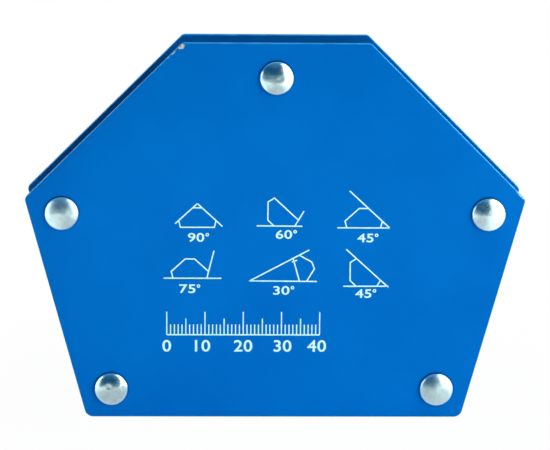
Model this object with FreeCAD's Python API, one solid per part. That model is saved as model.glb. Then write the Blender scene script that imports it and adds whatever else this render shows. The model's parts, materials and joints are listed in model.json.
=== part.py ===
import FreeCAD, Part
import math
import os

Vector = FreeCAD.Vector

# Welding magnet holder: two six-sided steel plates riveted either side of a filler
# core that carries the magnets. Millimetres, +Z up, the long base edge on Z = 0,
# the front plate towards -Y, and Y = 0 halfway through the thickness.

# Outline, seen from the front. Every angle between two edges is a working angle.
width = 130.0
height = 99.5
shoulder_height = 58.7
side_angle = 75.0
diagonal_angle = 45.0

# Plates
plate_thickness = 2.0
plate_gap = 12.0
plate_edge_round = 0.3
base_corner_radius = 2.2
shoulder_corner_radius = 1.3
top_corner_radius = 1.5

# Low round-head rivets, and how far their centres lie inside the edges
rivet_diameter = 5.0
rivet_head_diameter = 8.75
rivet_rim_height = 0.7
rivet_dome_height = 1.6
rivet_hole_clearance = 0.05
top_rivet_inset = 8.95
side_rivet_inset = 8.3
shoulder_rivet_inset = 9.5
base_rivet_inset = 7.7

# Spacer sleeves round the rivet shanks
sleeve_wall = 1.5
sleeve_bore_clearance = 0.05
sleeve_pocket_clearance = 0.1

# Filler core
core_setback = 3.0
core_corner_radius = 2.0

# Ferrite block magnets in through-pockets of the core
magnet_length = 28.0
magnet_width = 14.0
magnet_rim = 1.5
magnet_pocket_clearance = 0.1
base_magnet_web = 4.0
diagonal_magnet_web = 5.0

# Planes of the stack, from front to back
gap_front = -plate_gap / 2
gap_rear = plate_gap / 2
front_face = gap_front - plate_thickness
rear_face = gap_rear + plate_thickness

# Corners of the outline as (x, z), and the edges that join them, anticlockwise
half_base = width / 2 - shoulder_height / math.tan(math.radians(side_angle))
half_top = width / 2 - (height - shoulder_height) / math.tan(math.radians(diagonal_angle))
base_left = (-half_base, 0.0)
base_right = (half_base, 0.0)
shoulder_right = (width / 2, shoulder_height)
shoulder_left = (-width / 2, shoulder_height)
top_right = (half_top, height)
top_left = (-half_top, height)

edges = {
    "base": (base_left, base_right),
    "right_side": (base_right, shoulder_right),
    "right_diagonal": (shoulder_right, top_right),
    "top": (top_right, top_left),
    "left_diagonal": (top_left, shoulder_left),
    "left_side": (shoulder_left, base_left),
}


def direction(edge):
    """Unit vector along an edge, as (x, z)."""
    start, end = edges[edge]
    length = math.hypot(end[0] - start[0], end[1] - start[1])
    return (end[0] - start[0]) / length, (end[1] - start[1]) / length


def inward(edge):
    """Unit vector from an edge towards the middle of the plate, as (x, z)."""
    along = direction(edge)
    return -along[1], along[0]


def inside(edge, inset, offset):
    """Point inset from an edge, and offset along it from the edge's middle."""
    start, end = edges[edge]
    along = direction(edge)
    across = inward(edge)
    x = (start[0] + end[0]) / 2 + along[0] * offset + across[0] * inset
    z = (start[1] + end[1]) / 2 + along[1] * offset + across[1] * inset
    return x, z


def meet(edge_a, inset_a, edge_b, inset_b):
    """Point that lies inset_a inside one edge and inset_b inside another."""
    normal_a = inward(edge_a)
    normal_b = inward(edge_b)
    start_a = edges[edge_a][0]
    start_b = edges[edge_b][0]
    reach_a = normal_a[0] * start_a[0] + normal_a[1] * start_a[1] + inset_a
    reach_b = normal_b[0] * start_b[0] + normal_b[1] * start_b[1] + inset_b
    det = normal_a[0] * normal_b[1] - normal_a[1] * normal_b[0]
    x = (reach_a * normal_b[1] - reach_b * normal_a[1]) / det
    z = (normal_a[0] * reach_b - normal_b[0] * reach_a) / det
    return x, z


def prism(points, front, depth):
    """Straight-sided solid over an (x, z) outline, from the plane Y = front."""
    corners = [Vector(x, front, z) for x, z in points]
    face = Part.Face(Part.makePolygon(corners + corners[:1]))
    return face.extrude(Vector(0, depth, 0))


def upright_edges(solid, x, z):
    """Edges of a solid that run along Y through (x, z)."""
    found = []
    for edge in solid.Edges:
        ends = [vertex.Point for vertex in edge.Vertexes]
        if all(math.hypot(end.x - x, end.z - z) < 1e-6 for end in ends):
            found.append(edge)
    return found


def slab(inset, radii, front, depth):
    """Six-sided slab inset inside the outline, its corners rounded from base_left on."""
    names = list(edges)
    corners = []
    for before, after in zip(names[-1:] + names[:-1], names):
        corners.append(meet(before, inset, after, inset))
    solid = prism(corners, front, depth)
    for (x, z), radius in zip(corners, radii):
        solid = solid.makeFillet(radius, upright_edges(solid, x, z))
    return solid


def rod(x, z, radius, front, rear):
    """Cylinder along Y."""
    return Part.makeCylinder(radius, rear - front, Vector(x, front, z), Vector(0, 1, 0))


rivet_places = {
    "top": (0.0, height - top_rivet_inset),
    "left": meet("left_diagonal", shoulder_rivet_inset, "left_side", side_rivet_inset),
    "right": meet("right_side", side_rivet_inset, "right_diagonal", shoulder_rivet_inset),
    "bottom_left": meet("left_side", side_rivet_inset, "base", base_rivet_inset),
    "bottom_right": meet("base", base_rivet_inset, "right_side", side_rivet_inset),
}

sleeve_bore_radius = rivet_diameter / 2 + sleeve_bore_clearance
sleeve_radius = sleeve_bore_radius + sleeve_wall


def abreast(edge, rivet):
    """How far along an edge, from its middle, a rivet stands."""
    middle = inside(edge, 0.0, 0.0)
    along = direction(edge)
    x, z = rivet_places[rivet]
    return (x - middle[0]) * along[0] + (z - middle[1]) * along[1]


# Magnets as (edge, offset of the block's middle along it). The base has two, each
# side is midway between its rivets, and each diagonal starts beyond its shoulder rivet.
base_step = (magnet_length + base_magnet_web) / 2
diagonal_step = sleeve_radius + diagonal_magnet_web + magnet_length / 2
right_midway = (abreast("right_side", "bottom_right") + abreast("right_side", "right")) / 2
left_midway = (abreast("left_side", "bottom_left") + abreast("left_side", "left")) / 2
magnet_places = {
    "bottom_left": ("base", -base_step),
    "bottom_right": ("base", base_step),
    "right_side": ("right_side", right_midway),
    "right_diagonal": ("right_diagonal", abreast("right_diagonal", "right") + diagonal_step),
    "left_diagonal": ("left_diagonal", abreast("left_diagonal", "left") - diagonal_step),
    "left_side": ("left_side", left_midway),
}

plate_corner_radii = [
    base_corner_radius,
    base_corner_radius,
    shoulder_corner_radius,
    top_corner_radius,
    top_corner_radius,
    shoulder_corner_radius,
]


def plate(front):
    """Pressed steel plate, its rim slightly rounded, drilled for the rivets."""
    solid = slab(0.0, plate_corner_radii, front, plate_thickness)
    rim = [edge for edge in solid.Edges if edge.BoundBox.YLength < 1e-6]
    solid = solid.makeFillet(min(plate_edge_round, 0.45 * plate_thickness), rim)
    for x, z in rivet_places.values():
        hole = rod(x, z, rivet_diameter / 2 + rivet_hole_clearance, front, front + plate_thickness)
        solid = solid.cut(hole)
    return solid


def magnet_block(edge, offset, clearance):
    """Block behind a working edge, as long as the gap is wide, grown by a clearance."""
    outer = core_setback + magnet_rim - clearance
    inner = core_setback + magnet_rim + magnet_width + clearance
    half = magnet_length / 2 + clearance
    outline = [
        inside(edge, outer, offset - half),
        inside(edge, outer, offset + half),
        inside(edge, inner, offset + half),
        inside(edge, inner, offset - half),
    ]
    return prism(outline, gap_front, plate_gap)


def filler_core():
    """Moulded filler, set back from the edges, with pockets for magnets and sleeves."""
    solid = slab(core_setback, [core_corner_radius] * len(edges), gap_front, plate_gap)
    for x, z in rivet_places.values():
        solid = solid.cut(rod(x, z, sleeve_radius + sleeve_pocket_clearance, gap_front, gap_rear))
    for edge, offset in magnet_places.values():
        solid = solid.cut(magnet_block(edge, offset, magnet_pocket_clearance))
    return solid


def sleeve(x, z):
    """Tube that keeps the plates apart where the rivet clamps them."""
    outside = rod(x, z, sleeve_radius, gap_front, gap_rear)
    return outside.cut(rod(x, z, sleeve_bore_radius, gap_front, gap_rear))


def rivet(x, z):
    """Solid rivet through both plates, a low round head on each outer face."""
    head_radius = rivet_head_diameter / 2
    dome_radius = (head_radius ** 2 + rivet_dome_height ** 2) / (2 * rivet_dome_height)
    solid = rod(x, z, rivet_diameter / 2, front_face, rear_face)
    for seat, outwards in ((front_face, -1), (rear_face, 1)):
        tip = seat + outwards * (rivet_rim_height + rivet_dome_height)
        ball = Part.makeSphere(dome_radius, Vector(x, tip - outwards * dome_radius, z))
        band = rod(x, z, head_radius, min(seat, tip), max(seat, tip))
        solid = solid.fuse(ball.common(band))
    return solid.removeSplitter()


def save(name, solid):
    solid.exportStep("parts/" + name + ".step")


os.makedirs("parts", exist_ok=True)
save("front_plate", plate(front_face))
save("rear_plate", plate(gap_rear))
save("filler_core", filler_core())
for place, (edge, offset) in magnet_places.items():
    save("magnet_" + place, magnet_block(edge, offset, 0.0))
for place, (x, z) in rivet_places.items():
    save("sleeve_" + place, sleeve(x, z))
    save("rivet_" + place, rivet(x, z))
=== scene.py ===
import json
import math
import random
import bpy
from mathutils import Matrix, Vector


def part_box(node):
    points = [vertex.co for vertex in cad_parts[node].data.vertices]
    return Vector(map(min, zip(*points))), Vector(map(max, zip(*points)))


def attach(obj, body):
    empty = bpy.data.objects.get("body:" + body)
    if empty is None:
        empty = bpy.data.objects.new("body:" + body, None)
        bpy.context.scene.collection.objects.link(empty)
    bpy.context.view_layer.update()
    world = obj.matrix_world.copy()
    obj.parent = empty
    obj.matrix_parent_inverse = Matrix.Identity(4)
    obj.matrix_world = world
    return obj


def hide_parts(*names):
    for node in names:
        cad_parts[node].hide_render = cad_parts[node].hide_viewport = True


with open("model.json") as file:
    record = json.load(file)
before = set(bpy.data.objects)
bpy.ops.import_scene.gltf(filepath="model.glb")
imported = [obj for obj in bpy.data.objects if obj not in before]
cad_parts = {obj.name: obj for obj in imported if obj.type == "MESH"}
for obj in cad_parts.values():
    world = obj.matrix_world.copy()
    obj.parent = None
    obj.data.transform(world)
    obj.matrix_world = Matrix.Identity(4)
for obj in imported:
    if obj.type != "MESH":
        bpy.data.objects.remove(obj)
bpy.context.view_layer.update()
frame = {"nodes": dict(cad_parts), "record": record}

nodes = frame["nodes"]
mounts = {mount["name"]: mount for mount in frame["record"]["mounts"]}


# Camera: a long lens about 0.7 m in front of the printed plate, a little above it
# and a hair to its left, rolled half a degree.
lens_mm = 183.35
camera_distance = 0.7272
camera_elevation = math.radians(12.91)
camera_azimuth = math.radians(-1.62)
camera_roll = math.radians(0.53)
aim_height = 0.05192
aim_offset = -0.00012

front_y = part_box("front_plate")[0].y
toward_camera = Vector((
    math.sin(camera_azimuth) * math.cos(camera_elevation),
    -math.cos(camera_azimuth) * math.cos(camera_elevation),
    math.sin(camera_elevation),
))
camera_data = bpy.data.cameras.new("camera")
camera_data.lens = lens_mm
camera_data.clip_start = 0.01
camera = bpy.data.objects.new("camera", camera_data)
bpy.context.scene.collection.objects.link(camera)
camera.rotation_mode = "QUATERNION"
camera.location = Vector((aim_offset, front_y, aim_height)) + toward_camera * camera_distance
turn = toward_camera.to_track_quat("Z", "Y").to_matrix() @ Matrix.Rotation(camera_roll, 3, "Z")
camera.rotation_quaternion = turn.to_quaternion()
bpy.context.scene.camera = camera


# Rear plate: 2 mm mild steel sheet, sheared to six sides so that its edges meet at the
# working angles. Its corners are knocked off, its rim eased and five rivet holes drilled,
# and it is sprayed all over with gloss blue enamel.
mm = 0.001
# Points closer than this are one point
touching = 0.001 * mm
# How many times larger than the plate its blank is
blank_margin = 1.2
rim_round = 0.3 * mm
# How much paler the two slanting edges are painted than the others: partly paint rubbed thinner, partly
# a painted highlight of those lit edges
slanting_rim_paleness = 1.9
rivet_hole_radius = 2.55 * mm
plate_corners = [
    ("base_edge", "left_side_edge", 2.2 * mm),
    ("base_edge", "right_side_edge", 2.2 * mm),
    ("left_side_edge", "left_diagonal_edge", 1.3 * mm),
    ("right_side_edge", "right_diagonal_edge", 1.3 * mm),
    ("left_diagonal_edge", "top_edge", 1.5 * mm),
    ("right_diagonal_edge", "top_edge", 1.5 * mm),
]
rivet_nodes = ["rivet_top", "rivet_left", "rivet_right", "rivet_bottom_left", "rivet_bottom_right"]

blue_deep = "0069BE"
blue_bright = "0070C5"
# Paler blue of the rim, partly thin paint and partly a painted highlight
rim_blue_thin_and_lit = "22B0FC"
bare_steel = "D6DCEA"
rust_tan = "D8B498"
# Teal round the chip's border: painted shade of the broken paint's edge
chip_border_shade_teal = "1A6E96"
# Pale worn blue; on the right corner's edge it is partly a painted reflection
worn_and_glinting_blue = "A8DCFC"
# Dark blue and width of the painted contact shadow round each rivet head
rivet_shadow_blue = "00386F"
rivet_shadow_width = 0.5 * mm
cloud_width = 22 * mm
rim_break_width = 3.85 * mm
chip_jag_width = 0.714 * mm
peel_width = 1.3 * mm
# Marks of use on the front plate, as centre, half length, half height and tilt in degrees:
# a chip down to the steel at the top left corner, and edges worn thin there and on the right,
# where the pale patch on the corner's edge is partly worn paint and partly a painted reflection.
paint_chips = [(Vector((-24.75, -8.0, 98.75)) * mm, 1.3 * mm, 0.85 * mm, 18)]
worn_and_glinting_edges = [
    (Vector((-26.6, -8.0, 97.2)) * mm, 0.75 * mm, 0.4 * mm, 45),
    (Vector((-27.9, -8.0, 95.9)) * mm, 0.5 * mm, 0.3 * mm, 45),
    # Right corner's edge: partly worn paint, partly a painted reflection
    (Vector((63.7, -8.0, 60.0)) * mm, 1.5 * mm, 0.36 * mm, -45),
]


def linear(code):
    """Linear colour of an sRGB hex code."""
    levels = [int(code[i:i + 2], 16) / 255 for i in (0, 2, 4)]
    return [c / 12.92 if c <= 0.04045 else ((c + 0.055) / 1.055) ** 2.4 for c in levels] + [1.0]


def add_node(tree, kind, settings=None, links=None):
    """Adds a shader node, sets its properties and socket values, and links its inputs.
    The stops of a colour ramp are (position, hex colour) pairs."""
    made = tree.nodes.new("ShaderNode" + kind)
    for key, value in (settings or {}).items():
        if key == "stops":
            while len(made.color_ramp.elements) < len(value):
                made.color_ramp.elements.new(0.5)
            for element, (position, code) in zip(made.color_ramp.elements, value):
                element.position = position
                element.color = linear(code)
        elif isinstance(key, str) and hasattr(made, key):
            setattr(made, key, value)
        else:
            made.inputs[key].default_value = value
    for key, source in (links or {}).items():
        tree.links.new(source, made.inputs[key])
    return made


def new_material(name):
    """Material with an empty node tree, and that tree."""
    material = bpy.data.materials.new(name)
    material.use_nodes = True
    material.node_tree.nodes.clear()
    return material, material.node_tree


def start_piece(add_primitive, **placing):
    """Deselects everything, adds a primitive and opens it in edit mode."""
    bpy.ops.object.select_all(action="DESELECT")
    add_primitive(**placing)
    bpy.ops.object.transform_apply(location=True, rotation=True, scale=True)
    bpy.ops.object.mode_set(mode="EDIT")
    return bpy.context.object


def pick(piece, kind, test):
    """In edit mode, selects only the vertices, edges or faces that pass a test."""
    bpy.ops.mesh.select_mode(type=kind)
    bpy.ops.mesh.select_all(action="DESELECT")
    bpy.ops.object.mode_set(mode="OBJECT")
    parts = {"VERT": piece.data.vertices, "EDGE": piece.data.edges, "FACE": piece.data.polygons}
    for part in parts[kind]:
        part.select = test(part)
    bpy.ops.object.mode_set(mode="EDIT")


def edge_ends(piece, edge):
    """Places of an edge's two vertices."""
    return [piece.data.vertices[i].co for i in edge.vertices]


def trim(planes, fill):
    """Cuts the mesh in edit mode back to the inner side of each (point, outward normal)."""
    for point, outward in planes:
        bpy.ops.mesh.select_all(action="SELECT")
        bpy.ops.mesh.bisect(plane_co=point, plane_no=outward, use_fill=fill,
                            clear_outer=True, threshold=touching)


def close_up(merge_distance):
    """In edit mode, merges doubled points and turns every face outwards."""
    bpy.ops.mesh.select_all(action="SELECT")
    bpy.ops.mesh.remove_doubles(threshold=merge_distance)
    bpy.ops.mesh.normals_make_consistent(inside=False)
    bpy.ops.object.mode_set(mode="OBJECT")


def finish_piece(piece, name, material, slot, *stands_for):
    """Names the piece, gives it its finish and its place in the frame."""
    piece.name = name
    piece.data.name = name
    piece.data.materials.clear()
    piece.data.materials.append(material)
    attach(piece, "root")
    if stands_for:
        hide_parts(*stands_for)


def edge_plane(name):
    """Point on a working edge of the holder, and the edge's outward normal."""
    return Vector(mounts[name]["pos_m"]), Vector(mounts[name]["axis"])


def lies_in(place, name):
    """Whether a place lies in the plane of a working edge, to 0.02 mm."""
    point, outward = edge_plane(name)
    return abs((place - point).dot(outward)) < 0.02 * mm


def sheet_plate(node):
    """The plate of a CAD node, cut from a blank, with rounded corners, eased rim and holes."""
    low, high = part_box(node)
    middle = (low + high) / 2
    size = high - low
    plate = start_piece(bpy.ops.mesh.primitive_cube_add, size=1, location=middle,
                        scale=(size.x * blank_margin, size.y, size.z * blank_margin))
    trim([edge_plane(name) for name in mounts], True)
    bpy.ops.mesh.select_all(action="SELECT")
    bpy.ops.mesh.remove_doubles(threshold=touching)
    for one, other, radius in plate_corners:
        pick(plate, "EDGE", lambda edge: all(
            lies_in(end, one) and lies_in(end, other) for end in edge_ends(plate, edge)))
        bend = edge_plane(one)[1].angle(edge_plane(other)[1])
        bpy.ops.mesh.bevel(offset=radius * math.tan(bend / 2), segments=6, affect="EDGES")
    pick(plate, "EDGE", lambda edge: abs(
        edge_ends(plate, edge)[0].y - edge_ends(plate, edge)[1].y) < touching)
    bpy.ops.mesh.bevel(offset=rim_round, segments=3, affect="EDGES")
    bpy.ops.object.mode_set(mode="OBJECT")
    for name in rivet_nodes:
        centre = sum(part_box(name), Vector()) / 2
        drill = start_piece(bpy.ops.mesh.primitive_cylinder_add, vertices=48, radius=rivet_hole_radius,
                            depth=size.y * 3, location=(centre.x, middle.y, centre.z),
                            rotation=(math.pi / 2, 0, 0))
        bpy.ops.object.mode_set(mode="OBJECT")
        bpy.context.view_layer.objects.active = plate
        hole = plate.modifiers.new("rivet_hole", "BOOLEAN")
        hole.object = drill
        hole.operation = "DIFFERENCE"
        bpy.ops.object.modifier_apply(modifier=hole.name)
        bpy.data.objects.remove(drill)
    # The faces of the rim are marked for the enamel's paler rim, partly thin paint and partly a painted
    # highlight, the slanting edges more strongly
    rim = plate.data.attributes.new("rim", "FLOAT", "FACE")
    for face in plate.data.polygons:
        if abs(face.normal.y) < 0.9:
            slanting = min(abs(face.normal.x), face.normal.z) > 0.4
            rim.data[face.index].value = slanting_rim_paleness if slanting else 1.0
    bpy.ops.object.select_all(action="DESELECT")
    plate.select_set(True)
    bpy.ops.object.shade_smooth_by_angle(angle=math.radians(25))
    return plate


def spot_reach(tree, place, shift, spots):
    """How far out a place lies from the nearest of some ragged spots; 1 is a spot's edge."""
    reach = None
    for centre, half_length, half_height, tilt in spots:
        fitted = add_node(tree, "Mapping", {
            "vector_type": "TEXTURE", "Location": centre, "Rotation": (0, -math.radians(tilt), 0),
            "Scale": (half_length, half_height, half_height)}, {"Vector": place})
        uneven = add_node(tree, "VectorMath", {"operation": "ADD"},
                          {0: fitted.outputs["Vector"], 1: shift}).outputs["Vector"]
        out = add_node(tree, "VectorMath", {"operation": "LENGTH"}, {0: uneven}).outputs["Value"]
        reach = out if reach is None else add_node(
            tree, "Math", {"operation": "MINIMUM"}, {0: reach, 1: out}).outputs[0]
    return reach


def enamel():
    """Air-drying enamel sprayed on steel: deep even blue with a faint orange peel, thinner and paler
    where it draws back from the rim, partly a painted highlight there, with a painted shadow round
    each rivet head, and chipped through to the steel in places."""
    material, tree = new_material("blue_enamel_sprayed")
    place = add_node(tree, "TexCoord").outputs["Object"]
    clouds = add_node(tree, "TexNoise", {"Scale": 1 / cloud_width, "Detail": 4}, {"Vector": place})
    coat = add_node(tree, "ValToRGB", {"stops": [(0.3, blue_deep), (0.7, blue_bright)]},
                    {"Fac": clouds.outputs["Fac"]}).outputs["Color"]

    # Paler and broken along the rim: thin paint, and partly a painted highlight of the lit edges,
    # strongest on the slanting ones
    rim = add_node(tree, "Attribute", {"attribute_name": "rim"}).outputs["Fac"]
    drawn = add_node(tree, "TexNoise", {"Scale": 1 / rim_break_width, "Detail": 3}, {"Vector": place})
    broken = add_node(tree, "MapRange", {
        "From Min": 0.35, "From Max": 0.65, "To Min": 0.25, "To Max": 0.75},
        {"Value": drawn.outputs["Fac"]})
    thin = add_node(tree, "Math", {"operation": "MULTIPLY"}, {0: rim, 1: broken.outputs["Result"]})
    paint = add_node(tree, "Mix", {"data_type": "RGBA", "B": linear(rim_blue_thin_and_lit)},
                     {"Factor": thin.outputs[0], "A": coat})

    # Worn thin, partly a painted reflection at the right corner, and chipped down to bare steel and a
    # little rust, with painted shade in teal round the chip's border
    ragged = add_node(tree, "TexNoise", {"Scale": 1 / chip_jag_width, "Detail": 2}, {"Vector": place})
    shift = add_node(tree, "VectorMath", {"operation": "SUBTRACT", 1: (0.5, 0.5, 0.5)},
                     {0: ragged.outputs["Color"]}).outputs["Vector"]
    thinned = add_node(tree, "MapRange", {"From Min": 1.15, "From Max": 0.8, "To Max": 0.9},
                       {"Value": spot_reach(tree, place, shift, worn_and_glinting_edges)})
    worn = add_node(tree, "Mix", {"data_type": "RGBA", "B": linear(worn_and_glinting_blue)},
                    {"Factor": thinned.outputs["Result"], "A": paint.outputs["Result"]})
    reach = spot_reach(tree, place, shift, paint_chips)
    scar = add_node(tree, "ValToRGB", {"stops": [
        (0.0, rust_tan), (0.26, rust_tan), (0.5, bare_steel), (0.75, bare_steel), (0.97, chip_border_shade_teal)]},
        {"Fac": reach}).outputs["Color"]
    chipped = add_node(tree, "MapRange", {"From Min": 1.25, "From Max": 1.0}, {"Value": reach})
    bare = add_node(tree, "MapRange", {"From Min": 0.9, "From Max": 0.75, "To Max": 0.25},
                    {"Value": reach})
    scarred = add_node(tree, "Mix", {"data_type": "RGBA"},
                       {"Factor": chipped.outputs["Result"], "A": worn.outputs["Result"], "B": scar})

    # Painted contact shadow: a dark ring round each rivet head
    nearest_rivet = None
    for name in rivet_nodes:
        centre = sum(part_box(name), Vector()) / 2
        across = add_node(tree, "VectorMath", {"operation": "MULTIPLY", 1: (1, 0, 1)}, {0: place})
        away = add_node(tree, "VectorMath", {"operation": "DISTANCE", 1: (centre.x, 0, centre.z)},
                        {0: across.outputs["Vector"]}).outputs["Value"]
        nearest_rivet = away if nearest_rivet is None else add_node(
            tree, "Math", {"operation": "MINIMUM"}, {0: nearest_rivet, 1: away}).outputs[0]
    head_radius = (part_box("rivet_top")[1].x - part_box("rivet_top")[0].x) / 2
    rivet_shadow = add_node(tree, "MapRange", {
        "From Min": head_radius + rivet_shadow_width, "From Max": head_radius, "To Max": 0.95},
        {"Value": nearest_rivet})
    colour = add_node(tree, "Mix", {"data_type": "RGBA", "B": linear(rivet_shadow_blue)},
                      {"Factor": rivet_shadow.outputs["Result"], "A": scarred.outputs["Result"]})

    # Orange peel, which sinks where the coat is chipped
    peel = add_node(tree, "TexNoise", {"Scale": 1 / peel_width, "Detail": 2}, {"Vector": place})
    rough = add_node(tree, "MapRange", {"To Min": 0.26, "To Max": 0.4}, {"Value": peel.outputs["Fac"]})
    sunk = add_node(tree, "Math", {"operation": "SUBTRACT"},
                    {0: peel.outputs["Fac"], 1: chipped.outputs["Result"]})
    bump = add_node(tree, "Bump", {"Strength": 0.25, "Distance": 0.03 * mm},
                    {"Height": sunk.outputs[0]})
    shader = add_node(tree, "BsdfPrincipled", {
        "IOR": 1.5, "Specular IOR Level": 0.1, "Specular Tint": linear("40ACFF")}, {
        "Base Color": colour.outputs["Result"], "Metallic": bare.outputs["Result"],
        "Roughness": rough.outputs["Result"], "Normal": bump.outputs["Normal"]})
    add_node(tree, "OutputMaterial", links={"Surface": shader.outputs[0]})
    return material


blue_enamel = enamel()
rear_plate = sheet_plate("rear_plate")
finish_piece(rear_plate, "rear_plate_sheet", blue_enamel, "blue_coating", "rear_plate")


# Filler core: one piece of black plastic, injection moulded with pockets for the magnets
# and sleeves. It is dropped between the plates, set back from their edges.

# Drawn coarser than the real grain, which is too fine to show
core_grain = 0.7 * mm


def moulded_plastic():
    """Black ABS with a fine spark-eroded grain: dull, with a soft grey sheen at a slant."""
    material, tree = new_material("black_abs_moulded")
    place = add_node(tree, "TexCoord").outputs["Object"]
    grain = add_node(tree, "TexNoise", {"Scale": 1 / core_grain, "Detail": 3}, {"Vector": place})
    rough = add_node(tree, "MapRange", {"To Min": 0.5, "To Max": 0.7}, {"Value": grain.outputs["Fac"]})
    tone = add_node(tree, "ValToRGB", {"stops": [(0.3, "141517"), (0.7, "1C1D20")]},
                    {"Fac": grain.outputs["Fac"]}).outputs["Color"]
    bump = add_node(tree, "Bump", {"Strength": 0.3, "Distance": 0.03 * mm},
                    {"Height": grain.outputs["Fac"]})
    shader = add_node(tree, "BsdfPrincipled", {"IOR": 1.53}, {
        "Base Color": tone, "Roughness": rough.outputs["Result"], "Normal": bump.outputs["Normal"]})
    add_node(tree, "OutputMaterial", links={"Surface": shader.outputs[0]})
    return material


def paint_node(name, material):
    """Gives a CAD node that stays in view its finish."""
    nodes[name].data.materials.clear()
    nodes[name].data.materials.append(material)


paint_node("filler_core", moulded_plastic())


# Magnets: six ferrite blocks pressed and sintered from powder, ground on the two faces
# that meet the plates. Each is pushed into its pocket in the core.

# Drawn coarser than the real grit, which is too fine to show
ferrite_grit = 0.5 * mm


def sintered_ferrite():
    """Strontium ferrite: charcoal ceramic with a fine grit and barely a gleam."""
    material, tree = new_material("charcoal_ferrite_sintered")
    place = add_node(tree, "TexCoord").outputs["Object"]
    grit = add_node(tree, "TexNoise", {"Scale": 1 / ferrite_grit, "Detail": 4}, {"Vector": place})
    tone = add_node(tree, "ValToRGB", {"stops": [(0.35, "232427"), (0.7, "3A3B3F")]},
                    {"Fac": grit.outputs["Fac"]}).outputs["Color"]
    rough = add_node(tree, "MapRange", {"To Min": 0.55, "To Max": 0.8}, {"Value": grit.outputs["Fac"]})
    bump = add_node(tree, "Bump", {"Strength": 0.3, "Distance": 0.02 * mm},
                    {"Height": grit.outputs["Fac"]})
    shader = add_node(tree, "BsdfPrincipled", {"IOR": 1.9}, {
        "Base Color": tone, "Roughness": rough.outputs["Result"], "Normal": bump.outputs["Normal"]})
    add_node(tree, "OutputMaterial", links={"Surface": shader.outputs[0]})
    return material


ferrite = sintered_ferrite()
for name in nodes:
    if name.startswith("magnet_"):
        paint_node(name, ferrite)


# Spacer sleeves: five lengths of aluminium tube, turned to length. Each stands round a
# rivet and keeps the plates the thickness of the core apart.

# Drawn coarser than the real rings, which are too fine to show
turning_pitch = 0.25 * mm
# Scale at which a wave pattern repeats once a metre
wave_once_a_metre = 0.314


def turned_aluminium():
    """Aluminium straight off the lathe: pale grey with fine rings along the tube."""
    material, tree = new_material("pale_aluminium_turned")
    place = add_node(tree, "TexCoord").outputs["Object"]
    rings = add_node(tree, "TexWave", {
        "bands_direction": "Y", "Scale": wave_once_a_metre / turning_pitch, "Distortion": 0.5},
        {"Vector": place})
    tone = add_node(tree, "ValToRGB", {"stops": [(0.0, "B4B7BA"), (1.0, "CDD0D2")]},
                    {"Fac": rings.outputs["Fac"]}).outputs["Color"]
    rough = add_node(tree, "MapRange", {"To Min": 0.25, "To Max": 0.4}, {"Value": rings.outputs["Fac"]})
    bump = add_node(tree, "Bump", {"Strength": 0.2, "Distance": 0.01 * mm},
                    {"Height": rings.outputs["Fac"]})
    shader = add_node(tree, "BsdfPrincipled", {"Metallic": 1.0}, {
        "Base Color": tone, "Roughness": rough.outputs["Result"], "Normal": bump.outputs["Normal"]})
    add_node(tree, "OutputMaterial", links={"Surface": shader.outputs[0]})
    return material


aluminium = turned_aluminium()
for name in nodes:
    if name.startswith("sleeve_"):
        paint_node(name, aluminium)


# Front plate: the rear plate's twin in the same steel and enamel, laid over the core and
# the sleeves. It alone carries the print.
front_plate = sheet_plate("front_plate")
finish_piece(front_plate, "front_plate_sheet", blue_enamel, "blue_coating", "front_plate")


# Angle marks: white ink screened on the front plate. Each is a six-sided figure like the
# holder, two lines drawn out along the edges that make the angle, and the angle's number.
ink_height = 0.03 * mm
line_lift = 0.004 * mm
stroke = 0.33 * mm
ink_flow = 0.6 * mm
number_width = 4.25 * mm
number_height = 2.36 * mm
# How far the ink spreads past the letters' own outline, in the letters' units
number_weight = 0.014
number_widening = 1.12
degree_radius = 0.47 * mm
degree_hole_radius = 0.2 * mm
degree_place = Vector((5.02, 0, 1.9)) * mm
# Corners of the three figures in mm, anticlockwise from the low left one, about the base's middle
figures = {
    "upright": [(-4.4, 0), (4.4, 0), (4.85, 1.8), (1.23, 5.17), (-1.23, 5.17), (-4.85, 1.8)],
    "turned": [(-4.3, 0), (4.3, 0), (4.76, 1.9), (1.49, 5.44), (-0.74, 5.48), (-4.71, 1.82)],
    "small": [(-3.19, 0), (3.19, 0), (3.71, 1.81), (0.98, 4.63), (-0.94, 4.46), (-3.59, 1.78)],
}
BASE, RIGHT_SIDE, RIGHT_DIAGONAL, LEFT_DIAGONAL, LEFT_SIDE = 0, 1, 2, 4, 5
# Each mark, in mm: name, number, figure, its turn in degrees, middle of its base (x, z),
# lines as (edge, drawn out past its start, past its end), low left corner of the number,
# and barbs as (start, end)
angle_marks = [
    ("angle_mark_90", "90", "upright", 0, (-20.27, 51.25),
     [(RIGHT_DIAGONAL, 2.28, 1.68), (LEFT_DIAGONAL, 1.68, 1.24)], (-22.71, 47.38), []),
    ("angle_mark_60", "60", "turned", 136.9, (2.82, 56.17),
     [(LEFT_DIAGONAL, 4.47, 1.95), (LEFT_SIDE, 0.0, 2.81)], (0.11, 48.24), []),
    ("angle_mark_45_high", "45", "upright", 0, (22.93, 51.22),
     [(BASE, 2.42, 2.38), (RIGHT_DIAGONAL, 2.64, 6.82)], (21.32, 47.36), []),
    ("angle_mark_75", "75", "upright", 0, (-22.17, 37.64),
     [(BASE, 2.46, 3.81), (RIGHT_SIDE, 0.0, 5.76)], (-24.95, 33.63), []),
    ("angle_mark_30", "30", "small", -74.4, (5.53, 39.95),
     [(RIGHT_SIDE, 13.13, 2.67), (LEFT_SIDE, 2.95, 12.89)], (-0.43, 33.23),
     [((4.35, 42.0), (5.75, 42.55))]),
    ("angle_mark_45_low", "45", "turned", 137.6, (24.38, 40.12),
     [(LEFT_DIAGONAL, 3.38, 3.04), (BASE, 2.82, 3.68)], (21.01, 32.44), []),
]


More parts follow.
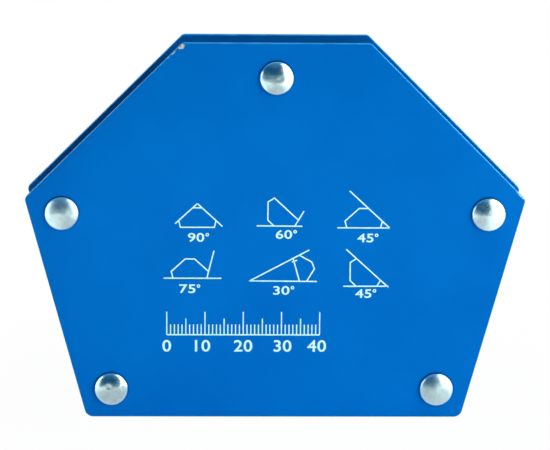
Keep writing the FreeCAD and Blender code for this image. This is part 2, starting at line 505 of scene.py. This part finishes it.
def screen_ink():
    """Two-part screen ink: flat clean white, a little uneven where the mesh laid it down."""
    material, tree = new_material("white_ink_screened")
    place = add_node(tree, "TexCoord").outputs["Object"]
    flow = add_node(tree, "TexNoise", {"Scale": 1 / ink_flow, "Detail": 3}, {"Vector": place})
    tone = add_node(tree, "ValToRGB", {"stops": [(0.3, "B0F8F0"), (0.6, "D8FFFA")]},
                    {"Fac": flow.outputs["Fac"]}).outputs["Color"]
    rough = add_node(tree, "MapRange", {"To Min": 0.4, "To Max": 0.6}, {"Value": flow.outputs["Fac"]})
    bump = add_node(tree, "Bump", {"Strength": 0.2, "Distance": 0.01 * mm},
                    {"Height": flow.outputs["Fac"]})
    shader = add_node(tree, "BsdfPrincipled", {"IOR": 1.5}, {
        "Base Color": tone, "Roughness": rough.outputs["Result"], "Normal": bump.outputs["Normal"]})
    add_node(tree, "OutputMaterial", links={"Surface": shader.outputs[0]})
    return material


def raise_ink(height):
    """Gives the flat print in edit mode its thickness, out from the plate."""
    bpy.ops.mesh.select_all(action="SELECT")
    bpy.ops.mesh.extrude_region_move(TRANSFORM_OT_translate={"value": (0, -height, 0)})
    close_up(touching)


def ink_bar(start, end, width, height):
    """Straight printed line from one place to another, its ends slightly rounded."""
    run = end - start
    tilt = math.atan2(run.z, run.x)
    bar = start_piece(bpy.ops.mesh.primitive_plane_add, size=1, rotation=(math.pi / 2, 0, 0))
    bpy.ops.transform.resize(value=(run.length, 1, width), center_override=(0, 0, 0))
    bpy.ops.mesh.bevel(offset=width * 0.2, segments=3, affect="VERTICES")
    bpy.ops.object.mode_set(mode="OBJECT")
    bar.matrix_world = Matrix.Translation((start + end) / 2) @ Matrix.Rotation(-tilt, 4, "Y")
    bpy.ops.object.transform_apply(location=True, rotation=True, scale=True)
    bpy.ops.object.mode_set(mode="EDIT")
    raise_ink(height)
    return bar


def ink_figure(corners):
    """Outline of the six-sided figure, one stroke wide and centred on its corners."""
    middle = sum(corners, Vector()) / len(corners)
    figure = start_piece(bpy.ops.mesh.primitive_plane_add, size=20 * mm, location=middle,
                         rotation=(math.pi / 2, 0, 0))
    planes = []
    for start, end in zip(corners, corners[1:] + corners[:1]):
        outward = (end - start).cross(Vector((0, -1, 0))).normalized()
        planes.append((start + outward * stroke / 2, outward))
    trim(planes, False)
    bpy.ops.mesh.select_mode(type="FACE")
    bpy.ops.mesh.select_all(action="SELECT")
    bpy.ops.mesh.inset(thickness=stroke)
    bpy.ops.mesh.delete(type="FACE")
    raise_ink(ink_height)
    return figure


def ink_number(text, left, bottom, width, height):
    """Printed number that fills a box on the plate, from its low left corner. Without a
    width, it keeps the letters' own shape, widened a little."""
    bpy.ops.object.select_all(action="DESELECT")
    bpy.ops.object.text_add()
    number = bpy.context.object
    number.data.body = text
    number.data.extrude = 0.1
    number.data.resolution_u = 5
    number.data.space_character = 1.04
    bpy.ops.object.convert(target="MESH")
    bpy.ops.object.mode_set(mode="EDIT")
    bpy.ops.mesh.select_all(action="SELECT")
    bpy.ops.mesh.remove_doubles(threshold=0.0001)
    bpy.ops.mesh.dissolve_limited(angle_limit=math.radians(1))
    bpy.ops.mesh.normals_make_consistent(inside=False)
    bpy.ops.transform.shrink_fatten(value=number_weight, use_even_offset=True)
    bpy.ops.object.mode_set(mode="OBJECT")
    spans = [sorted(vertex.co[axis] for vertex in number.data.vertices) for axis in range(3)]
    low = Vector([span[0] for span in spans])
    size = Vector([span[-1] for span in spans]) - low
    if width is None:
        width = size.x * height / size.y * number_widening
    fit = Matrix.Diagonal((width / size.x, height / size.y, ink_height / size.z, 1))
    home = Matrix.Translation(-low)
    upright = Matrix.Rotation(math.pi / 2, 4, "X")
    number.matrix_world = Matrix.Translation((left, front_y, bottom)) @ upright @ fit @ home
    bpy.ops.object.transform_apply(location=True, rotation=True, scale=True)
    return number


def degree_sign(centre):
    """Printed ring beside a number."""
    ring = start_piece(bpy.ops.mesh.primitive_circle_add, vertices=24, radius=degree_radius,
                       fill_type="NGON", location=centre, rotation=(math.pi / 2, 0, 0))
    bpy.ops.mesh.select_mode(type="FACE")
    bpy.ops.mesh.select_all(action="SELECT")
    bpy.ops.mesh.inset(thickness=degree_radius - degree_hole_radius)
    bpy.ops.mesh.delete(type="FACE")
    raise_ink(ink_height)
    return ring


def join(pieces):
    """Makes one piece of several."""
    bpy.ops.object.select_all(action="DESELECT")
    for piece in pieces:
        piece.select_set(True)
    bpy.context.view_layer.objects.active = pieces[0]
    bpy.ops.object.join()
    return pieces[0]


def angle_mark(number, figure, turn, base, lines, label, barbs):
    """The figure, the two lines that make the angle, any barbs and the number, in one piece."""
    place = Matrix.Translation((base[0] * mm, front_y, base[1] * mm))
    place = place @ Matrix.Rotation(-math.radians(turn), 4, "Y")
    corners = [place @ Vector((x * mm, 0, z * mm)) for x, z in figures[figure]]
    parts = [ink_figure(corners)]
    for edge, before, after in lines:
        start = corners[edge]
        end = corners[(edge + 1) % len(corners)]
        along = (end - start).normalized()
        parts.append(ink_bar(start - along * before * mm, end + along * after * mm,
                             stroke, ink_height + line_lift))
    for start, end in barbs:
        parts.append(ink_bar(Vector((start[0] * mm, front_y, start[1] * mm)),
                             Vector((end[0] * mm, front_y, end[1] * mm)), stroke, ink_height))
    parts.append(ink_number(number, label[0] * mm, label[1] * mm, number_width, number_height))
    parts.append(degree_sign(Vector((label[0] * mm, front_y, label[1] * mm)) + degree_place))
    return join(parts)


white_ink = screen_ink()
for name, number, figure, turned, base, lines, label, barbs in angle_marks:
    mark = angle_mark(number, figure, turned, base, lines, label, barbs)
    finish_piece(mark, name, white_ink, "white_print")


# Ruler: a plain 40 mm scale in the same white ink, printed below the angle marks for
# marking out. It has a line under it, ticks each millimetre and a number each 10 mm.
ruler_left = -28.2 * mm
ruler_bottom = 22.4 * mm
ruler_length = 40
tick_width = 0.3 * mm
tick_heights = {10: 6.2 * mm, 5: 4.4 * mm, 1: 2.8 * mm}
ruler_number_height = 3.2 * mm
ruler_number_gap = 1.4 * mm


def ruler():
    """The scale's line, its ticks, copied from one tick, and its numbers, in one piece."""
    low_left = Vector((ruler_left, front_y, ruler_bottom))
    low_right = low_left + Vector((ruler_length * mm, 0, 0))
    parts = [ink_bar(low_left, low_right, stroke, ink_height + line_lift)]
    first_tick = ink_bar(low_left, low_left + Vector((0, 0, tick_heights[1])), tick_width, ink_height)
    for place in range(ruler_length + 1):
        step = 10 if place % 10 == 0 else 5 if place % 5 == 0 else 1
        tick = first_tick.copy()
        tick.data = first_tick.data.copy()
        bpy.context.scene.collection.objects.link(tick)
        for vertex in tick.data.vertices:
            vertex.co.x += place * mm
            if vertex.co.z > ruler_bottom + tick_heights[1] / 2:
                vertex.co.z += tick_heights[step] - tick_heights[1]
        parts.append(tick)
        if step == 10:
            number = ink_number(str(place), 0, ruler_bottom - ruler_number_gap - ruler_number_height,
                                None, ruler_number_height)
            centre = sum(vertex.co.x for vertex in number.data.vertices) / len(number.data.vertices)
            for vertex in number.data.vertices:
                vertex.co.x += ruler_left + place * mm - centre
            parts.append(number)
    bpy.data.objects.remove(first_tick)
    return join(parts)


finish_piece(ruler(), "ruler_scale", white_ink, "white_print")


# Rivets: solid steel with low round heads, bright zinc plated. Each goes through both
# plates and a sleeve, and a press spreads its second head, so no two heads are quite alike.
# A head is a shallow crown that leans out to the first angle and a tighter knuckle that
# leans out to the second, above an upright lip that is undercut where it meets the plate
crown_rings = 10
knuckle_rings = 7
crown_edge = math.radians(31)
knuckle_edge = math.radians(60)
undercut = 0.25 * mm
lip = 0.7 * mm
# How far the press may push a crown off centre, and the knocks it leaves
head_drift = 0.22 * mm
dents_per_head = 5
dent_depth = 0.09 * mm
dent_reach = 1.7 * mm
plating_ripple = 1.1 * mm
# How closely the painted highlight keeps to the rim of a head: a power of the distance out
rim_glint_narrowness = 8
# How much duller the press left each rivet's plating
dulled_heads = {"rivet_top": 0.0, "rivet_left": 0.14, "rivet_right": 0.05,
                "rivet_bottom_left": 0.0, "rivet_bottom_right": 0.1}


def bright_plating():
    """Bright zinc over steel: a pale, faintly green mirror, softened by the press, and
    with a bluer painted highlight along the rim of each head."""
    material, tree = new_material("bright_zinc_plated")
    place = add_node(tree, "TexCoord").outputs["Object"]
    ripple = add_node(tree, "TexNoise", {"Scale": 1 / plating_ripple, "Detail": 3}, {"Vector": place})
    tone = add_node(tree, "ValToRGB", {"stops": [(0.3, "AEC5C6"), (0.7, "C0D6D6")]},
                    {"Fac": ripple.outputs["Fac"]}).outputs["Color"]
    # Bluer painted highlight along the rim of each head
    brink = add_node(tree, "Attribute", {"attribute_name": "brink"}).outputs["Fac"]
    zinc = add_node(tree, "Mix", {"data_type": "RGBA", "B": linear("C8F0FF")},
                    {"Factor": brink, "A": tone})
    polish = add_node(tree, "MapRange", {"To Min": 0.16, "To Max": 0.26},
                      {"Value": ripple.outputs["Fac"]})
    dulled = add_node(tree, "Attribute", {"attribute_name": "dulled"}).outputs["Fac"]
    rough = add_node(tree, "Math", {"operation": "ADD"}, {0: polish.outputs["Result"], 1: dulled})
    bump = add_node(tree, "Bump", {"Strength": 0.35, "Distance": 0.05 * mm},
                    {"Height": ripple.outputs["Fac"]})
    shader = add_node(tree, "BsdfPrincipled", {"Metallic": 1.0}, {
        "Base Color": zinc.outputs["Result"], "Roughness": rough.outputs[0],
        "Normal": bump.outputs["Normal"]})
    add_node(tree, "OutputMaterial", links={"Surface": shader.outputs[0]})
    return material


def head_profile(seat, tip, shank_radius, head_radius):
    """(distance out from the middle, radius) pairs from the shank up to the crown."""
    slack = (1 - math.cos(crown_edge)) / math.sin(crown_edge)
    swing = math.sin(knuckle_edge) - math.sin(crown_edge)
    fall = math.cos(crown_edge) - math.cos(knuckle_edge)
    knuckle = (tip - seat - lip - head_radius * slack) / (fall - swing * slack)
    crown = (head_radius - knuckle * swing) / math.sin(crown_edge)
    profile = [(seat, shank_radius), (seat, head_radius - undercut)]
    for ring in range(knuckle_rings):
        lean = knuckle_edge + (crown_edge - knuckle_edge) * ring / knuckle_rings
        drop = crown * (1 - math.cos(crown_edge)) + knuckle * (math.cos(crown_edge) - math.cos(lean))
        profile.append((tip - drop, head_radius - knuckle * (math.sin(knuckle_edge) - math.sin(lean))))
    for ring in range(crown_rings):
        lean = crown_edge * (1 - ring / crown_rings)
        profile.append((tip - crown * (1 - math.cos(lean)), crown * math.sin(lean)))
    return profile


def dent(piece, spot, push, reach):
    """Pushes the surface nearest to a spot along Y, and what lies round it less and less."""
    nearest = min(piece.data.vertices, key=lambda vertex: (vertex.co - spot).length).index
    bpy.ops.object.mode_set(mode="EDIT")
    pick(piece, "VERT", lambda vertex: vertex.index == nearest)
    bpy.ops.transform.translate(value=(0, push, 0), use_proportional_edit=True,
                                proportional_edit_falloff="SMOOTH", proportional_size=reach)
    bpy.ops.object.mode_set(mode="OBJECT")


def rivet(node, chance):
    """Shank and two heads, spun up ring by ring; the heads drift a little off centre."""
    low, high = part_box(node)
    middle = (low + high) / 2
    head_radius = (high.x - low.x) / 2
    shank_radius = rivet_hole_radius - 0.05 * mm
    piece = start_piece(bpy.ops.mesh.primitive_circle_add, vertices=64, radius=shank_radius,
                        location=(middle.x, 0, middle.z), rotation=(math.pi / 2, 0, 0))
    for way in (-1, 1):
        drift = Vector((chance.uniform(-1, 1), 0, chance.uniform(-1, 1))) * head_drift
        pick(piece, "VERT", lambda v: abs(v.co.y) < touching)
        profile = head_profile(-front_y, high.y, shank_radius, head_radius)
        at, radius, centre = 0.0, shank_radius, Vector((middle.x, 0, middle.z))
        for out, wide in profile:
            off = drift * max(0.0, 1 - (wide / head_radius) ** 2) if out > -front_y else Vector()
            here = Vector((middle.x, 0, middle.z)) + off
            step = here - centre + Vector((0, way * (out - at), 0))
            bpy.ops.mesh.extrude_region_move(TRANSFORM_OT_translate={"value": step})
            bpy.ops.transform.resize(value=(wide / radius, 1, wide / radius), center_override=here)
            at, radius, centre = out, wide, here
        bpy.ops.mesh.extrude_region_move(TRANSFORM_OT_translate={"value": (0, way * (high.y - at), 0)})
        bpy.ops.mesh.merge(type="CENTER")
    close_up(touching / 10)
    for way in (-1, 1):
        for knock in range(dents_per_head):
            angle = chance.uniform(0, 2 * math.pi)
            away = chance.uniform(0.1, 0.75) * head_radius
            spot = Vector((middle.x + away * math.cos(angle), way * high.y,
                           middle.z + away * math.sin(angle)))
            dent(piece, spot, -way * chance.uniform(0.3, 1.0) * dent_depth,
                 chance.uniform(0.6, 1.0) * dent_reach)
    for finish in ("dulled", "brink"):
        piece.data.attributes.new(finish, "FLOAT", "POINT")
    dulled = piece.data.attributes["dulled"].data
    brink = piece.data.attributes["brink"].data
    # The painted rim highlight rises steeply towards the rim of each head
    for vertex in piece.data.vertices:
        away = Vector((vertex.co.x - middle.x, vertex.co.z - middle.z)).length / head_radius
        dulled[vertex.index].value = dulled_heads[node]
        brink[vertex.index].value = away ** rim_glint_narrowness
    bpy.ops.object.shade_smooth_by_angle(angle=math.radians(40))
    return piece


plating = bright_plating()
press = random.Random(7)
for node in rivet_nodes:
    finish_piece(rivet(node, press), node + "_snapped", plating, "bright_steel", node)


# Floor: a wide white table top. It is plain white around and behind the holder and falls
# off into the room in front of it, and it keeps a faint shadow.
floor_radius = 3.0
# Where in Y the white that mirrors see starts, in front of the holder, and where it is full
glow_front = -0.42
glow_full = -0.12
# The table is a touch darker close to the holder, from the first radius out to the second
dim_inner, dim_outer, dim_share = 0.08, 0.14, 0.975
# How much of the plain white a mirror sees, and the brighter stretches that rivets mirror
# at the right and the left, as (where one starts in X, where it is full, its brightness)
mirror_share = 0.6
bright_right = (0.035, 0.1, 2.8)
bright_left = (-0.05, -0.08, 2.1)

floor = start_piece(bpy.ops.mesh.primitive_circle_add, vertices=96, radius=floor_radius,
                    fill_type="NGON")
bpy.ops.object.mode_set(mode="OBJECT")
floor.name = "floor"


def white_table():
    """White laminate: an even plain white to the eye, matt where light and shadow fall."""
    material, tree = new_material("white_laminate_table")
    place = add_node(tree, "TexCoord").outputs["Object"]
    along = add_node(tree, "SeparateXYZ", links={"Vector": place})
    near = add_node(tree, "MapRange", {
        "From Min": glow_front, "From Max": glow_full, "interpolation_type": "SMOOTHSTEP"},
        {"Value": along.outputs["Y"]})
    away = add_node(tree, "VectorMath", {"operation": "LENGTH"}, {0: place})
    open_floor = add_node(tree, "MapRange", {
        "From Min": dim_inner, "From Max": dim_outer, "To Min": dim_share, "To Max": 1.0},
        {"Value": away.outputs["Value"]})
    path = add_node(tree, "LightPath")
    seen = add_node(tree, "Math", {"operation": "MAXIMUM"}, {
        0: path.outputs["Is Camera Ray"], 1: path.outputs["Is Transmission Ray"]})
    mirrored = add_node(tree, "Math", {"operation": "MULTIPLY", 1: mirror_share},
                        {0: path.outputs["Is Glossy Ray"]})
    reflected = add_node(tree, "Math", {"operation": "MULTIPLY"}, {
        0: mirrored.outputs[0], 1: near.outputs["Result"]})
    shown = add_node(tree, "Math", {"operation": "MAXIMUM"}, {
        0: seen.outputs[0], 1: reflected.outputs[0]})
    share = add_node(tree, "Math", {"operation": "MULTIPLY"}, {
        0: shown.outputs[0], 1: open_floor.outputs["Result"]})
    boost = path.outputs["Is Glossy Ray"]
    for start, full, brightness in (bright_right, bright_left):
        stretch = add_node(tree, "MapRange", {
            "From Min": start, "From Max": full, "To Min": 1.0, "To Max": brightness},
            {"Value": along.outputs["X"]})
        boost = add_node(tree, "Math", {"operation": "MULTIPLY"}, {
            0: boost, 1: stretch.outputs["Result"]}).outputs[0]
    level = add_node(tree, "Math", {"operation": "MAXIMUM", 1: 1.0}, {0: boost})
    lit = add_node(tree, "BsdfDiffuse", {"Color": linear("EEF1F0")})
    glow = add_node(tree, "Emission", {"Color": linear("FFFFFF")}, {"Strength": level.outputs[0]})
    shader = add_node(tree, "MixShader", links={
        0: share.outputs[0], 1: lit.outputs[0], 2: glow.outputs[0]})
    add_node(tree, "OutputMaterial", links={"Surface": shader.outputs[0]})
    return material


floor.data.materials.append(white_table())


# Light: a soft box on the right, a wide panel overhead and a low strip close in front,
# and a white card at each side for the rivets to mirror. They stand in a dim teal room
# that is pale blue behind the holder and plain white to the camera.
lamp_aim = Vector((0, 0, 0.05))
# Share of the room's light that falls on matt surfaces
room_fill = 0.27


def lamp(name, width, tall, azimuth, elevation, distance, level):
    """Soft box that faces the holder from a direction in degrees. Its level is how bright
    its face is, where 1 is white."""
    data = bpy.data.lights.new(name, "AREA")
    data.shape = "RECTANGLE"
    data.size, data.size_y = width, tall
    data.energy = level * math.pi * width * tall
    lit = bpy.data.objects.new(name, data)
    bpy.context.scene.collection.objects.link(lit)
    a, e = math.radians(azimuth), math.radians(elevation)
    back = Vector((math.sin(a) * math.cos(e), -math.cos(a) * math.cos(e), math.sin(e)))
    lit.location = lamp_aim + back * distance
    lit.rotation_euler = back.to_track_quat("Z", "Y").to_euler()
    lit.visible_camera = False
    lit.visible_glossy = False


# Width, height, azimuth, elevation, distance and level
lamp("soft_box_right", 0.3, 0.3, 50, 20, 1.0, 13.2)
lamp("panel_overhead", 0.9, 0.9, 80, 68, 1.0, 2.3)
lamp("strip_low_front", 0.3, 0.05, 0, -12, 0.2, 5.8)


def card(name, near, far, tall, colour, strength):
    """White card that stands beside the holder, from one place on the table to another."""
    sheet = start_piece(bpy.ops.mesh.primitive_plane_add, size=1, rotation=(math.pi / 2, 0, 0))
    bpy.ops.object.mode_set(mode="OBJECT")
    run = Vector((far[0] - near[0], far[1] - near[1], 0))
    middle = Vector(((far[0] + near[0]) / 2, (far[1] + near[1]) / 2, tall / 2))
    sheet.matrix_world = (Matrix.Translation(middle) @ Matrix.Rotation(math.atan2(run.y, run.x), 4, "Z")
                          @ Matrix.Diagonal((run.length, 1, tall, 1)))
    bpy.ops.object.transform_apply(location=True, rotation=True, scale=True)
    material, tree = new_material(name)
    glow = add_node(tree, "Emission", {"Color": linear(colour), "Strength": strength})
    add_node(tree, "OutputMaterial", links={"Surface": glow.outputs[0]})
    sheet.data.materials.append(material)
    sheet.name = name
    sheet.visible_camera = False
    sheet.visible_diffuse = False
    sheet.visible_shadow = False


# Near and far foot as (x, y), height, colour and strength
card("card_right", (0.125, -0.22), (0.25, 0.2), 0.45, "FFFFFF", 3.2)
card("card_left", (-0.15, -0.09), (-0.25, 0.2), 0.15, "F4F8F6", 2.0)

# The room, darkest at the height of the holder and paler above and below
world = bpy.data.worlds.new("teal_room")
bpy.context.scene.world = world
world.use_nodes = True
tree = world.node_tree
tree.nodes.clear()
way = add_node(tree, "TexCoord").outputs["Generated"]
parts = add_node(tree, "SeparateXYZ", links={"Vector": way})
behind = add_node(tree, "MapRange", {
    "From Min": -0.15, "From Max": 0.15, "interpolation_type": "SMOOTHSTEP"},
    {"Value": parts.outputs["Y"]})
gloom = add_node(tree, "ValToRGB", {"stops": [
    (0.0, "9AB5C7"), (0.12, "4E8EAA"), (0.25, "005C82"), (0.5, "005686"), (0.85, "4A8CB8")]},
    {"Fac": parts.outputs["Z"]}).outputs["Color"]
room = add_node(tree, "Mix", {"data_type": "RGBA", "B": linear("86D2F4")},
                {"Factor": behind.outputs["Result"], "A": gloom})
path = add_node(tree, "LightPath")
shown = add_node(tree, "Mix", {"data_type": "RGBA", "B": linear("FFFFFF")},
                 {"Factor": path.outputs["Is Camera Ray"], "A": room.outputs["Result"]})
level = add_node(tree, "MapRange", {"To Min": 1.0, "To Max": room_fill},
                 {"Value": path.outputs["Is Diffuse Ray"]})
sky = add_node(tree, "Background", links={
    "Color": shown.outputs["Result"], "Strength": level.outputs["Result"]})
add_node(tree, "OutputWorld", links={"Surface": sky.outputs[0]})

bpy.context.scene.view_settings.view_transform = "Standard"
